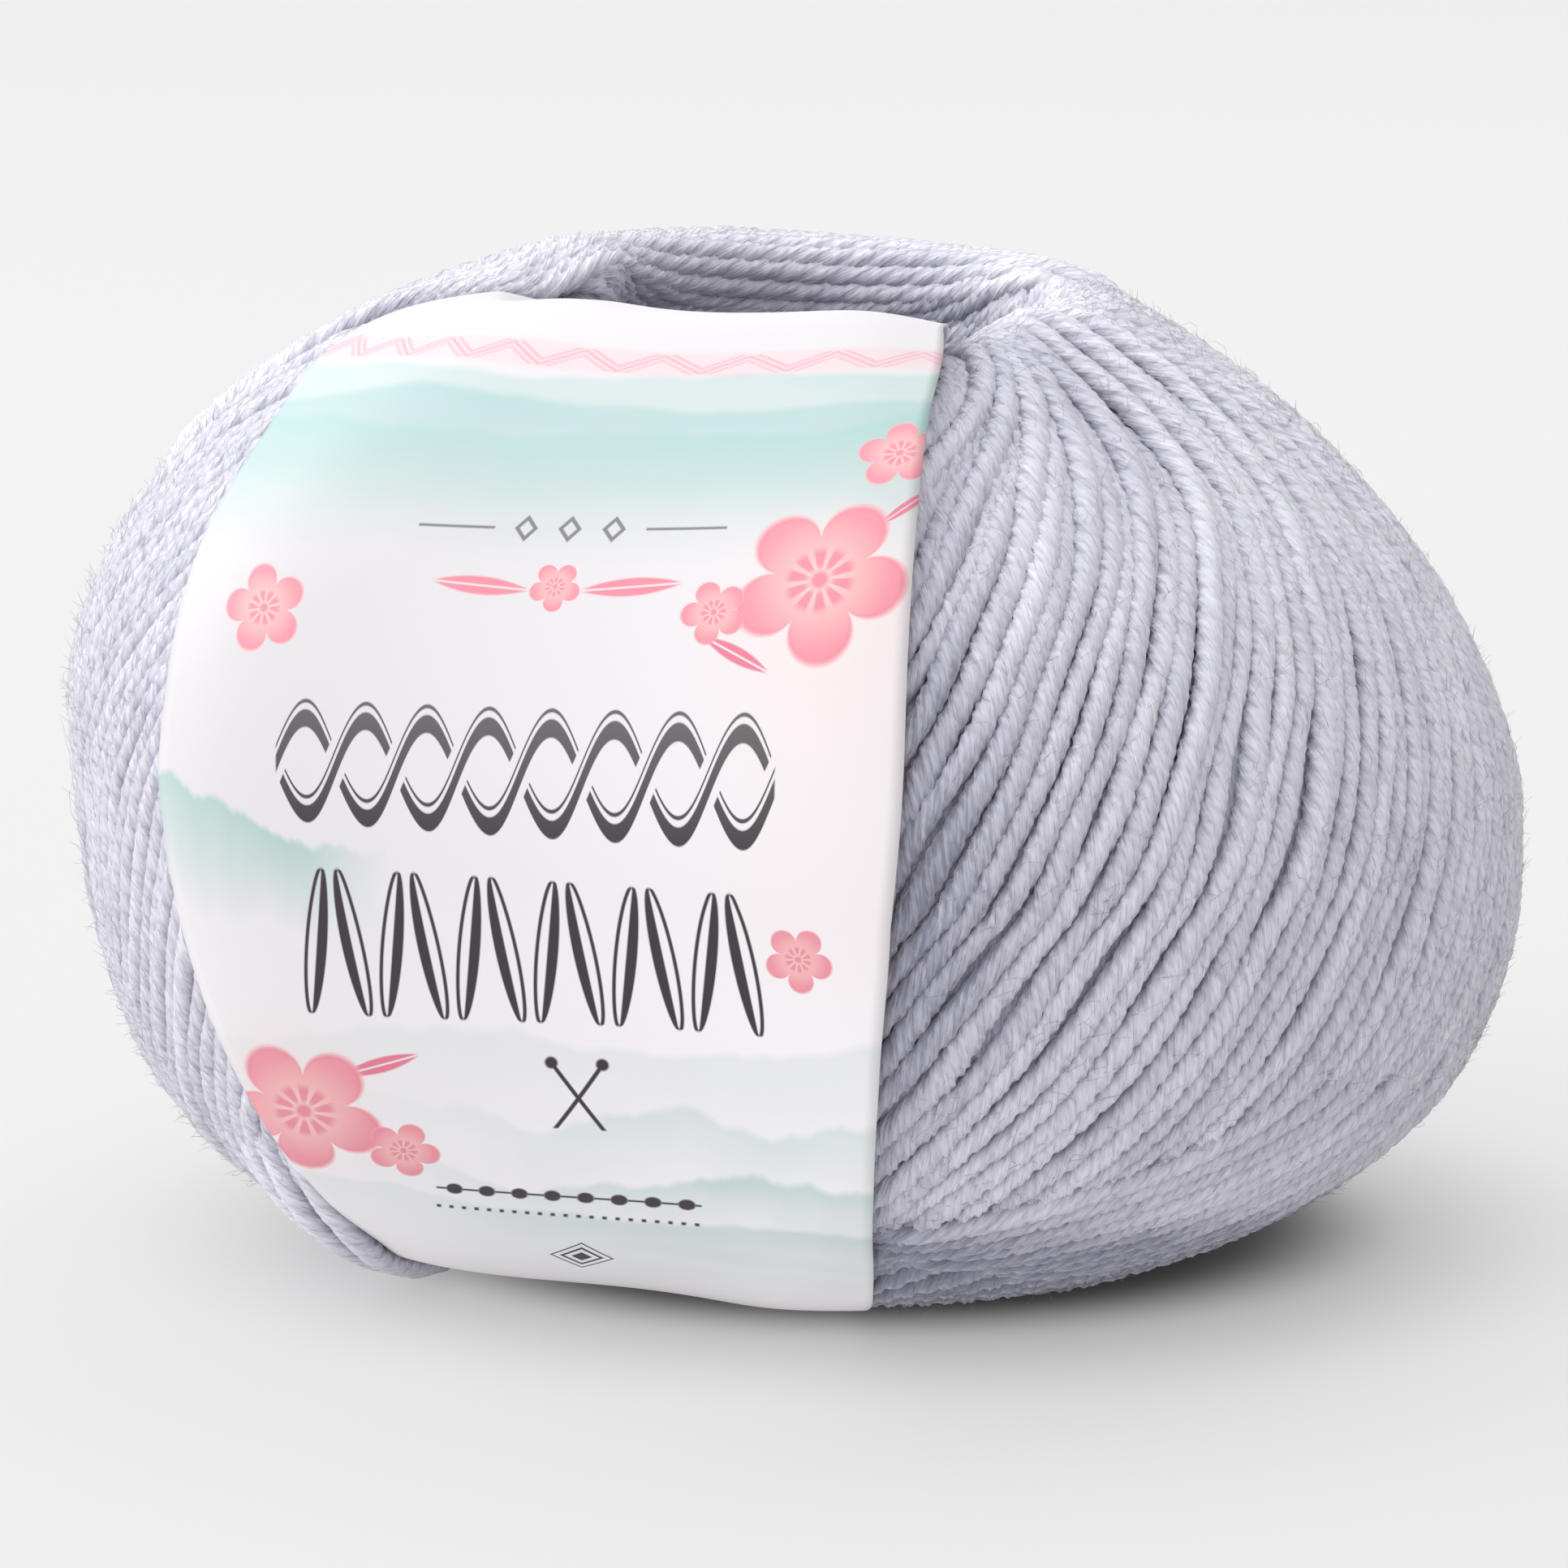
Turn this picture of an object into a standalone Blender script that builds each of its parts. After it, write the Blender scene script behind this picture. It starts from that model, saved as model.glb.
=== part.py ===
"""A machine-wound ball of yarn, with a wide paper band threaded through its centre hole.

The ball is a closed ring of yarn about an upright hole. A point of its surface is named by two
angles: the azimuth round the hole, 0 at the front (-Y) and growing towards +X, and the turn
round the ring's section, 0 at the widest ring, 90 at the upper lip, 180 inside the hole and
270 at the lower lip. The ball leans a little and has settled on a small flat spot.
"""
import math

import bmesh
import bpy
from mathutils import Vector

MM = 0.001
RIGHT_ANGLE = math.pi / 2

# The ball
BALL_RADIUS = 50.0 * MM
UPPER_HEIGHT = 37.28 * MM      # of the dome that the upper side follows, above the widest ring
UPPER_POWER = 1.87
LOWER_HEIGHT = 35.96 * MM
LOWER_POWER = 2.68
LOWER_EASED = 0.45             # taken off that power in front, where the band rounds it
LOWER_FULLER = 0.25            # added to it on the left, where the ball sags
EASED_AZIMUTH = math.radians(21.0)
FULLER_AZIMUTH = math.radians(-69.0)
FRONT_FLAT = 44.4 * MM         # from the axis to the front, which the band presses flat
FLAT_SHARPNESS = 40.0
LIP_RADIUS = 22.0 * MM         # where the dome turns over into the hole
LIP_ROUNDING = 8.5 * MM
HOLE_RADIUS = 12.8 * MM        # at the middle of the hole
LIP_SHARE = 0.6                # of the inner quarter turn, the rest is the wall of the hole

# How the ball sits
LEAN = math.radians(3.54)
LEAN_AZIMUTH = math.radians(21.0)   # the way the top leans, from +X towards +Y
SLUMP_BOW = -1.79 * MM              # sideways bow of the slices, upper and lower alike
SLUMP_SLANT = 7.06 * MM             # sideways shift that grows towards the underside
SETTLED = 1.5 * MM                  # of the underside is pressed flat

# The winding
RIDGES = 27
COLUMNS_PER_RIDGE = 4
ROWS = 40
RIDGE_DEPTH = 1.0 * MM
RIDGE_UNEVENNESS = 0.3
HOLE_RIDGE_SHARE = 0.3
RIDGE_REST = 3.0 * MM          # above the surface, over which the ridges rise from the flat spot
SWIRL = math.radians(27.5)     # azimuth by which a strand drifts from the widest ring to a lip
SWIRL_EASED = 0.375            # share of it taken off near the widest ring

# The paper band
PAPER_THICKNESS = 1.0 * MM
PAPER_GAP = 0.35 * MM
BAND_STEPS = 60
BAND_COLUMNS = 10
BAND_MARGIN = math.radians(8.0)     # beside the band, over which the ridges fade out
PRESSED_MARGIN = math.radians(3.0)  # beside the band, over which the underside rises above it
BITE_EDGE = 2.4 * MM                # by which the band's edges press into the upper lip
BITE_MIDDLE = 1.3 * MM
BITE_SKEW = -2.6 * MM               # by which it presses more on the left of its middle
BITE_MARGIN = math.radians(22.0)
BITE_TURN = math.radians(105.0)
BITE_REACH = math.radians(47.0)
BAND_EDGES = (
    # turn, azimuth of the left edge, azimuth of the right edge, in degrees
    (0.0, -31.8, 27.6),
    (20.0, -32.6, 29.1),
    (40.0, -36.5, 30.6),
    (58.0, -43.0, 32.5),
    (72.0, -57.5, 34.8),
    (84.0, -68.0, 38.6),
    (98.0, -75.0, 43.5),
    (118.0, -78.5, 54.0),
    (148.0, -82.0, 74.0),
    (180.0, -92.0, 92.0),
    (212.0, -84.0, 84.0),
    (242.0, -62.0, 66.0),
    (270.0, -38.0, 46.0),
    (290.0, -26.6, 35.6),
    (308.0, -26.0, 30.1),
    (325.0, -27.7, 27.5),
    (343.0, -29.9, 26.8),
)


def smooth_step(low, high, value):
    """0 below low, 1 above high, and a smooth rise between them."""
    share = min(max((value - low) / (high - low), 0.0), 1.0)
    return share * share * (3.0 - 2.0 * share)


def outer_radius(azimuth):
    """Radius of the widest ring, with the front flattened where the band lies."""
    facing = math.cos(azimuth)
    if facing < 0.1:
        return BALL_RADIUS
    flat = FRONT_FLAT / facing
    return (BALL_RADIUS ** -FLAT_SHARPNESS + flat ** -FLAT_SHARPNESS) ** (-1.0 / FLAT_SHARPNESS)


def dome_height(radius, widest, height, power):
    """Height of the dome above the widest ring, at a distance from the axis."""
    return height * (1.0 - (radius / widest) ** power) ** (1.0 / power)


def lower_power(azimuth):
    """Fullness of the underside, which is eased under the band and fuller on the left."""
    eased = LOWER_EASED * max(math.cos(azimuth - EASED_AZIMUTH), 0.0) ** 2
    fuller = LOWER_FULLER * max(math.cos(azimuth - FULLER_AZIMUTH), 0.0) ** 2
    return LOWER_POWER - eased + fuller


def section(azimuth, turn):
    """Distance from the axis and height of the ring's section at a turn."""
    upper = math.sin(turn) >= 0.0
    height = UPPER_HEIGHT if upper else LOWER_HEIGHT
    power = UPPER_POWER if upper else lower_power(azimuth)
    widest = outer_radius(azimuth)
    folded = turn if turn <= math.pi else 2.0 * math.pi - turn
    if folded <= RIGHT_ANGLE:
        last = math.acos((LIP_RADIUS / widest) ** (power / 2.0))
        angle = folded / RIGHT_ANGLE * last
        radius = widest * math.cos(angle) ** (2.0 / power)
        level = height * math.sin(angle) ** (2.0 / power)
    else:
        share = folded / RIGHT_ANGLE - 1.0
        rolled = min(share / LIP_SHARE, 1.0) * RIGHT_ANGLE
        radius = LIP_RADIUS - LIP_ROUNDING * math.sin(rolled)
        level = dome_height(radius, widest, height, power)
        level -= LIP_ROUNDING * (1.0 - math.cos(rolled))
        down = max((share - LIP_SHARE) / (1.0 - LIP_SHARE), 0.0)
        radius = HOLE_RADIUS + (radius - HOLE_RADIUS) * (1.0 - down) ** 2
        level *= 1.0 - down
    return radius, level if upper else -level


def band_edges(turn):
    """Azimuths of the band's two edges at a turn, on smooth curves through its table's rows."""
    degrees = math.degrees(turn) % 360.0
    count = len(BAND_EDGES)
    row = max(index for index in range(count) if BAND_EDGES[index][0] <= degrees)
    before, start, end, after = (BAND_EDGES[(row + offset) % count] for offset in (-1, 0, 1, 2))
    length = (end[0] - start[0]) % 360.0
    length_before = (start[0] - before[0]) % 360.0
    length_after = (after[0] - end[0]) % 360.0
    share = (degrees - start[0]) / length
    edges = []
    for side in (1, 2):
        leaving = (end[side] - before[side]) * length / (length_before + length)
        arriving = (after[side] - start[side]) * length / (length + length_after)
        rise = smooth_step(0.0, 1.0, share)
        azimuth = start[side] + (end[side] - start[side]) * rise
        azimuth += share * (1.0 - share) * (leaving * (1.0 - share) - arriving * share)
        edges.append(math.radians(azimuth))
    return edges


def band_bite(azimuth, turn):
    """Depth by which the taut band presses the upper lip."""
    left, right = band_edges(turn)
    wrapped = (azimuth + math.pi) % (2.0 * math.pi) - math.pi
    across = (wrapped - (left + right) / 2.0) / ((right - left) / 2.0)
    beside = max(left - wrapped, wrapped - right)
    square = min(across * across, 1.0)
    depth = BITE_MIDDLE + (BITE_EDGE - BITE_MIDDLE) * square + BITE_SKEW * across * (1.0 - square)
    fade = 1.0 - smooth_step(0.0, BITE_MARGIN, beside)
    return depth * fade * (1.0 - smooth_step(0.0, BITE_REACH, abs(turn - BITE_TURN)))


def ring_point(azimuth, turn):
    """Point of the smooth wound form, before it leans and settles."""
    turn = turn % (2.0 * math.pi)
    radius, level = section(azimuth, turn)
    level -= band_bite(azimuth, turn)
    return Vector((radius * math.sin(azimuth), -radius * math.cos(azimuth), level))


def ring_normal(azimuth, turn):
    """Outward direction of the smooth wound form."""
    step = 0.001
    along = ring_point(azimuth, turn + step) - ring_point(azimuth, turn - step)
    around = ring_point(azimuth + step, turn) - ring_point(azimuth - step, turn)
    return around.cross(along).normalized()


def winding_swirl(turn):
    """Azimuth by which a strand has drifted at a turn: most at the lips, none at the widest ring."""
    return SWIRL * math.sin(turn) * (1.0 - SWIRL_EASED * math.cos(turn) ** 2)


def outside_band(azimuth, turn, margin):
    """0 under the band, 1 further than the margin beside it."""
    left, right = band_edges(turn)
    wrapped = (azimuth + math.pi) % (2.0 * math.pi) - math.pi
    beside = max(left - wrapped, wrapped - right)
    return smooth_step(0.0, margin, beside)


def settle(point, floor):
    """Leans and slumps a point, and keeps it above a level over the surface it rests on."""
    across = Vector((math.cos(LEAN_AZIMUTH), math.sin(LEAN_AZIMUTH), 0.0))
    sideways = point.dot(across)
    leaned = sideways * math.cos(LEAN) + point.z * math.sin(LEAN)
    level = point.z * math.cos(LEAN) - sideways * math.sin(LEAN)
    height = level / ((UPPER_HEIGHT + LOWER_HEIGHT) / 2.0)
    leaned += SLUMP_BOW * (height ** 2 - 0.4) + SLUMP_SLANT * (height ** 3 - 0.6 * height)
    settled = point + across * (leaned - sideways)
    settled.z = max(level + LOWER_HEIGHT - SETTLED, floor)
    return settled


def ridge_depth(column, azimuth, turn):
    """Depth of the winding's main twists below the wound form."""
    ridge, place = divmod(column, COLUMNS_PER_RIDGE)
    groove = 0.5 - 0.5 * math.cos(2.0 * math.pi * place / COLUMNS_PER_RIDGE)
    uneven = 1.0 - RIDGE_UNEVENNESS * (0.5 + 0.5 * math.sin(2.4 * ridge))
    inside = smooth_step(0.0, 0.6, -math.cos(turn))
    inside_share = 1.0 - (1.0 - HOLE_RIDGE_SHARE) * inside
    return RIDGE_DEPTH * groove * uneven * inside_share * outside_band(azimuth, turn, BAND_MARGIN)


def make_material(name, colour, roughness):
    material = bpy.data.materials.new(name)
    material.use_nodes = True
    shader = material.node_tree.nodes["Principled BSDF"]
    shader.inputs["Base Color"].default_value = (*colour, 1.0)
    shader.inputs["Roughness"].default_value = roughness
    shader.inputs["Metallic"].default_value = 0.0
    return material


def make_yarn_ball():
    """The wound ball: a torus carried onto the wound form, its columns along the strands."""
    columns = RIDGES * COLUMNS_PER_RIDGE
    start = BALL_RADIUS
    bpy.ops.mesh.primitive_torus_add(
        major_segments=columns, minor_segments=ROWS,
        major_radius=start, minor_radius=start / 2.0)
    ball = bpy.context.object
    ball.name = "yarn_ball"
    for vertex in ball.data.vertices:
        place = vertex.co
        around = math.atan2(place.y, place.x) % (2.0 * math.pi)
        turn = math.atan2(place.z, math.hypot(place.x, place.y) - start) % (2.0 * math.pi)
        column = round(around / (2.0 * math.pi) * columns) % columns
        azimuth = around + winding_swirl(turn)
        point = ring_point(azimuth, turn)
        sunk = ridge_depth(column, azimuth, turn)
        sunk *= smooth_step(0.0, RIDGE_REST, settle(point, 0.0).z)
        lift = (PAPER_THICKNESS + PAPER_GAP) * (1.0 - outside_band(azimuth, turn, PRESSED_MARGIN))
        vertex.co = settle(point - ring_normal(azimuth, turn) * sunk, lift)
    ball.data.shade_smooth()
    ball.data.materials.append(make_material("yarn", (0.43, 0.42, 0.50), 0.95))
    return ball


def make_label_band():
    """The paper band: a sheet bent along the wound form into a closed ring."""
    mesh = bpy.data.meshes.new("label_band")
    sheet = bmesh.new()
    bmesh.ops.create_grid(sheet, x_segments=BAND_COLUMNS, y_segments=BAND_STEPS, size=1.0)
    middle = PAPER_GAP + PAPER_THICKNESS / 2.0
    for vertex in sheet.verts:
        turn = (vertex.co.y + 2.0) * math.pi % (2.0 * math.pi)
        left, right = band_edges(turn)
        azimuth = left + (right - left) * (vertex.co.x + 1.0) / 2.0
        point = ring_point(azimuth, turn) + ring_normal(azimuth, turn) * middle
        vertex.co = settle(point, PAPER_THICKNESS / 2.0)
    bmesh.ops.remove_doubles(sheet, verts=sheet.verts, dist=0.01 * MM)
    sheet.to_mesh(mesh)
    sheet.free()
    band = bpy.data.objects.new("label_band", mesh)
    thickness = band.modifiers.new("paper", "SOLIDIFY")
    thickness.thickness = PAPER_THICKNESS
    thickness.offset = 0.0
    mesh.shade_smooth()
    mesh.materials.append(make_material("label_paper", (0.90, 0.87, 0.89), 0.6))
    bpy.context.scene.collection.objects.link(band)
    return band


def gather(objects, name):
    """Moves the objects into a collection named for the thing they make."""
    collection = bpy.data.collections.new(name)
    bpy.context.scene.collection.children.link(collection)
    for item in objects:
        for holder in list(item.users_collection):
            holder.objects.unlink(item)
        collection.objects.link(item)


def centre_over_origin(objects):
    """Brings the middle of the whole thing's box over the origin."""
    bpy.context.view_layer.update()
    corners = [item.matrix_world @ Vector(corner) for item in objects for corner in item.bound_box]
    for item in objects:
        for axis in range(2):
            low = min(corner[axis] for corner in corners)
            high = max(corner[axis] for corner in corners)
            item.location[axis] -= (low + high) / 2.0


def main():
    for item in list(bpy.data.objects):
        bpy.data.objects.remove(item, do_unlink=True)
    pieces = [make_yarn_ball(), make_label_band()]
    gather(pieces, "ball_of_yarn")
    centre_over_origin(pieces)


main()
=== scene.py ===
"""Looks of the wound ball of yarn: its single plied strands, the printed paper band round it,
the loose fibres, and the floor, light and camera.

A point of the wound form is named as in the part: by the azimuth round the hole, 0 at the front
(-Y) and growing towards +X, and by the turn round the ring's section, 0 at the widest ring, 90
degrees at the upper lip, 180 in the hole and -90 at the lower lip. Lengths are in metres.
"""
import math

import bpy
import numpy as np
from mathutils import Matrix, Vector

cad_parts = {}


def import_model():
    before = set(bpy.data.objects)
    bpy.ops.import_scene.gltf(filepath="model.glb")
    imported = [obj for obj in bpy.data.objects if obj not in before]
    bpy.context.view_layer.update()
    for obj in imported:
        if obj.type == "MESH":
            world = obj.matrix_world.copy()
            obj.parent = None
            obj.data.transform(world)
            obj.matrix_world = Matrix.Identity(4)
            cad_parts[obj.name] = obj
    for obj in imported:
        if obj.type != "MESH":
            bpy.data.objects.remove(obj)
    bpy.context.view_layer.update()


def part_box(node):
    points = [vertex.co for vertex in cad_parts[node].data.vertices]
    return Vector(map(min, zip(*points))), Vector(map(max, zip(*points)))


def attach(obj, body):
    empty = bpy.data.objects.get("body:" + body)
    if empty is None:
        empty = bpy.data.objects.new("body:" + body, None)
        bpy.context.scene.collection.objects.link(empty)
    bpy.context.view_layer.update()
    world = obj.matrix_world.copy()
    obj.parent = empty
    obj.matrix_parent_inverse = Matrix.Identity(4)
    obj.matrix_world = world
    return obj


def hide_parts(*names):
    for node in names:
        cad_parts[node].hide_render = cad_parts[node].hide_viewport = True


def angles(*degrees):
    return tuple(math.radians(angle) for angle in degrees)


MM = 0.001
DEGREE = math.pi / 180.0
HALF_TURN = math.pi
QUARTER_TURN = math.pi / 2.0
FULL_TURN = 2.0 * math.pi
FINE_POINTS = 721  # on a line round the section, before it is measured
LOOP_POINTS, EDGE_POINTS = 401, 301
BAND_POINTS = 41  # across the band

# The wound form, as in the part
BALL_RADIUS = 50.0 * MM
UPPER_HEIGHT = 37.28 * MM
UPPER_POWER = 1.87
LOWER_HEIGHT = 35.96 * MM
LOWER_POWER = 2.68
LOWER_EASED = 0.45
LOWER_FULLER = 0.25
EASED_AZIMUTH = 21.0 * DEGREE
FULLER_AZIMUTH = -69.0 * DEGREE
FRONT_FLAT = 44.4 * MM
FLAT_SHARPNESS = 40.0
LIP_RADIUS = 22.0 * MM
LIP_ROUNDING = 8.5 * MM
HOLE_RADIUS = 12.8 * MM
LIP_SHARE = 0.6
LEAN = 3.54 * DEGREE
LEAN_AZIMUTH = 21.0 * DEGREE
SLUMP_BOW = -1.79 * MM
SLUMP_SLANT = 7.06 * MM
SETTLED = 1.5 * MM
BITE_EDGE = 2.4 * MM
BITE_MIDDLE = 1.3 * MM
BITE_SKEW = -2.6 * MM
BITE_MARGIN = 22.0 * DEGREE
BITE_TURN = 105.0 * DEGREE
BITE_REACH = 47.0 * DEGREE
SWIRL = 27.5 * DEGREE  # drift of a strand from the widest ring to a lip
SWIRL_EASED = 0.375  # share of it taken off near the widest ring
EVENED_BELOW = 60.0 * DEGREE  # down to where a strand drifts evenly with its height
BAND_OUTER = 1.35 * MM  # the solid band's outer face over the form
BAND_EDGES = (
    # turn, azimuth of the left edge, azimuth of the right edge, in degrees
    (0.0, -31.8, 27.6),
    (20.0, -32.6, 29.1),
    (40.0, -36.5, 30.6),
    (58.0, -43.0, 32.5),
    (72.0, -57.5, 34.8),
    (84.0, -68.0, 38.6),
    (98.0, -75.0, 43.5),
    (118.0, -78.5, 54.0),
    (148.0, -82.0, 74.0),
    (180.0, -92.0, 92.0),
    (212.0, -84.0, 84.0),
    (242.0, -62.0, 66.0),
    (270.0, -38.0, 46.0),
    (290.0, -26.6, 35.6),
    (308.0, -26.0, 30.1),
    (325.0, -27.7, 27.5),
    (343.0, -29.9, 26.8),
)

# The yarn
STRANDS = 174
STRAND_UNEVENNESS = 0.09  # of the space that a strand has beside the next
CROWDING = 0.14  # by which that space swells and shrinks twice round the ball
CROWDING_AZIMUTH = 30.0 * DEGREE
SPACES = (0.7, 1.4)  # the least and the most of it, as shares
PLIES = 4
PLY_PROFILE = (0.83, 1.02, 1.02)  # radius from the groove between two plies to the crown
SIDES = PLIES * len(PLY_PROFILE)
LAY = 7.8 * MM  # length of one full turn of the plies
RING_STEP = 0.8 * MM
HALF_HEIGHT = 0.88 * MM
WIDTH_OF_SPACE = 0.58  # half a strand's width, as a share of its space
NARROWEST = 0.74 * MM
WIDEST = 1.16 * MM
LOOP_WIDTH = 0.97 * MM  # half the width of a strand in a loop and beside the band
EDGE_WIDTH = 0.98 * MM
LAYERS = 3  # in which the strands pile up towards the lips
LAYER_DROP = 0.55 * MM
HOLE_DROP = 1.0 * MM  # more of it for each layer, as a strand ends inside the hole
PILED_TURNS = angles(28.0, 92.0)
ENDING_TURNS = angles(94.0, 112.0)
LOWEST_LIFT = 0.1 * MM  # of anything over the floor
LOWEST_MIDDLE = 0.55 * MM  # of a strand's middle over the floor
SIDE_WANDER = 0.42 * DEGREE
HEIGHT_WANDER = 0.1 * MM
LONGEST_WAVE = 46.0 * MM
HEIGHT_SPREAD = 0.08  # of the strands' own heights, in mm
LUMPS = 0.035 * MM  # short waves of a strand's height
LUMP_LENGTH = 7.0 * MM
TUCK = 7.0 * DEGREE  # how far a strand still runs in under the band
CLEAR_OF_BAND = 5.0 * DEGREE  # from where a strand may stand as high as it likes
SHORTEST_RUN = 5  # rings
SECTORS = 4

# The strands draw together to a fan at the upper lip
FAN_START = 28.0 * DEGREE  # of the strand to which its neighbours draw in
FAN_REACH = angles(38.0, 22.0)  # on its left and on its right
FAN_TURNS = angles(58.0, 93.0)
FAN_DRAWN = 0.86

# After the last strands of a pass, which stand proud, the winding steps down
PROUD_AZIMUTH = 45.5 * DEGREE
PROUD_LIFT = 0.42 * MM
PROUD_DROP = -0.38 * MM
PROUD_WIDTH = 9.0 * DEGREE
PROUD_FROM = angles(0.0, 25.0)
PROUD_TO = angles(72.0, 88.0)

# The layers of yarn below the strands
CORE_DEPTH = 1.2 * MM
CORE_COLUMNS, CORE_ROWS = 160, 80

# The rear wall of the hole falls back under the rim
RECESS = 3.0 * MM
RECESS_AZIMUTH = 196.0 * DEGREE
RECESS_REACH = angles(58.0, 86.0)
RECESS_TURNS = angles(108.0, 132.0)
RECESS_END = angles(180.0, 200.0)

# Tones. The first two are added to the yarn's own tone, and the first of them is painted shade on
# the layers seen only between the strands; the others are how much darker the yarn is drawn:
# painted shade, and last a painted highlight
CORE_PAINTED_SHADE = -1.6  # of the strands that are seen only between the others
EDGE_PALER = 0.6  # of those that stand out beside the band
# Painted shade in the grooves between the strands
GROOVE_PAINTED_SHADE = 1.7  # at the sides of a strand, beside the next
GROOVE_LEVELS = (0.7, 0.05)  # from where on its side, and where it is fullest
# Painted shade in the hole's recessed rear wall
RECESS_PAINTED_SHADE = 2.4
# Painted shade where the strands draw together to the fan
FAN_PAINTED_SHADE = 1.4
FAN_MIDDLE = angles(53.0, 85.0)
FAN_SIZE = angles(12.0, 16.0)
# Painted shadow of the band's right edge on the strands beside it
BAND_EDGE_PAINTED_SHADOW = 2.2  # beside the band's right edge, which stands off the strands
SHADED_BESIDE = 13.0 * DEGREE
SHADED_TURN = 8.0 * DEGREE  # where it is fullest, and how far above and below it fades
SHADED_TURNS = angles(44.0, 12.0)
SHADED_LEAST = 0.35
# Painted shade towards the floor
UNDER_PAINTED_SHADE = 8.0  # towards the floor, on the side away from the window
UNDER_TURNS = angles(-40.0, -62.0)
# Painted highlight on the shoulders, taken off the painted shade
SHOULDER_PAINTED_HIGHLIGHT = 0.9  # taken off again, where more of the short fibres catch the light
SHOULDER_TURNS = angles(36.0, 66.0)
SHOULDER_AZIMUTHS = angles(50.0, 84.0)
SHOULDER_END = angles(176.0, 130.0)

# Strands that run along the band's left edge where it goes under the ball
EDGE_TURNS = angles(-14.0, -112.0)
EDGE_GAPS = (2.0, 5.6, 9.0, 12.4)  # from the band's edge to each, in degrees of azimuth
EDGE_LIFTS = (1.5, 1.7, 1.3, 0.6)  # over the form where they stand proudest, in mm
EDGE_SUNK = 1.3  # under it where they start, in mm
EDGE_RISE = angles(-26.0, -66.0)
EDGE_FADE = 8.0 * MM

# Bundles of the last pass, which run slantwise over the others: each strand is a tilted loop round
# the ball, furthest up or down at its extreme azimuth and turn. Angles in degrees, lengths in mm
LOOPS = (
    # name, first extreme azimuth, its step to the next strand, runs of extreme turns by the first,
    # the last and how many, tilt, sweep about the extreme, lengths over which the two ends sink in,
    # lift, how much paler the strands are drawn: painted light on the rear rim and, below 0,
    # painted shade low at the right
    ("yarn_loops_rear", 204.0, 0.7, ((122.0, 92.0, 7), (88.4, 63.2, 8)),
     83.0, (-78.0, 85.0), (14.0, 18.0), 0.8, 0.4),
    ("yarn_loops_hole", 198.0, 1.0, ((172.0, 128.6, 8),),
     72.0, (-68.0, 76.0), (10.0, 12.0), 0.7, 0.0),
    ("yarn_loops_low_right", -10.0, 2.9, ((-60.0, -70.8, 10),),
     42.7, (25.0, 84.0), (12.0, 16.0), 0.5, -0.4),
)
LOOP_SUNK = 2.2  # how deep the two ends of a loop lie

# Loose fibres
FIBRES = 8200
FIBRE_POINTS = 4
FIBRE_SIDES = 3
FIBRE_RADIUS = 0.014 * MM
FIBRE_ROOT = 0.15 * MM  # under the form
FIBRE_UP = (0.31, 0.22, 0.93)  # a direction that hardly any fibre follows
FIBRE_SINES = (-0.97, 1.0)  # of the turns where they lie, before these are spread
FIBRE_SPREAD = 1.25
FIBRE_HEADING = (-0.35, 0.5)  # off a line straight up, in radians: its mean and its spread
FIBRE_CURL = 0.9
LOOSE_SHARE = 0.55  # of the fibres stand out from the ball at one end
LOOSE_LENGTHS, LOOSE_RISES = (0.9, 2.6), (0.25, 1.0)  # mm
LAID_LENGTHS = (1.5, 4.5)  # mm
LAID_RISE, LAID_RISE_MOST = 0.2, 0.8  # mm
FIBRES_CLEAR = 1.5 * DEGREE  # of the band

# The paper band
PAPER_THICKNESS = 0.22 * MM
PAPER_LIFT = 0.62 * MM
PAPER_EDGE_LIFTS = (0.15 * MM, 0.4 * MM)  # more at the left edge and at the right edge
RAISED_CORNER = 0.75 * MM  # at the right edge, on the upper lip
RAISED_TURN = 90.0 * DEGREE
RAISED_REACH = 34.0 * DEGREE
PAPER_COLUMNS = 64
PAPER_ROWS = 240
PAPER_LIFT_BELOW = 0.12 * MM  # where the ball's weight presses it on the floor
PRESSED_TURNS = angles(-38.0, -78.0)
TUCKED_IN = 1.75 * MM  # how far the paper's left edge is drawn down at the upper lip
TUCKED_FROM = -0.36  # share of half the width at which that begins
TUCKED_TURN = 103.0 * DEGREE
TUCKED_REACH = 31.5 * DEGREE
PRINT_MIDDLE = (10.0 * DEGREE, 7.8)  # an azimuth, and how far across the print it is, in mm
PRINT_SLANT = (-3.33, -4.95, 1.74, 5.44)  # of the print's lines across the paper, in mm
PRINT_BOW = (-0.17, 13.2, -10.9)
PRINT_UNIT = 40.0  # mm
PRINT_REACH = 1.1  # of those units, up and down
PRINT_ASIDE = (-0.9, 0.6)  # of azimuth, in radians

# The camera, found by fitting the form to the photograph's outline
CAMERA_AZIMUTH = 21.0 * DEGREE
CAMERA_ELEVATION = 12.06 * DEGREE
CAMERA_DISTANCE = 350.0 * MM
IMAGE_PIXELS = 1932.0
FOCAL_PIXELS = 6177.0
AXIS_PIXEL = (968.7, 923.6)  # where the middle of the form lies in the photograph
SENSOR = 36.0

# The floor's glow, painted light that keeps it bright, which is less in a painted shadow under and
# beside the ball
SHADOW_MIDDLE = (5.5 * MM, 1.0 * MM, 0.0)
SHADOW_SHAPE = (1.41, 1.0, 1.0)
SHADOW_EDGES = (
    # distance at which the glow begins, distance at which it is full, the glow there
    (18.7 * MM, 27.2 * MM, 0.265),
    (13.6 * MM, 41.6 * MM, 0.325),
)
FLOOR_SIZE = 8.0
FLOOR_LEVEL = -0.05 * MM

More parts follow.
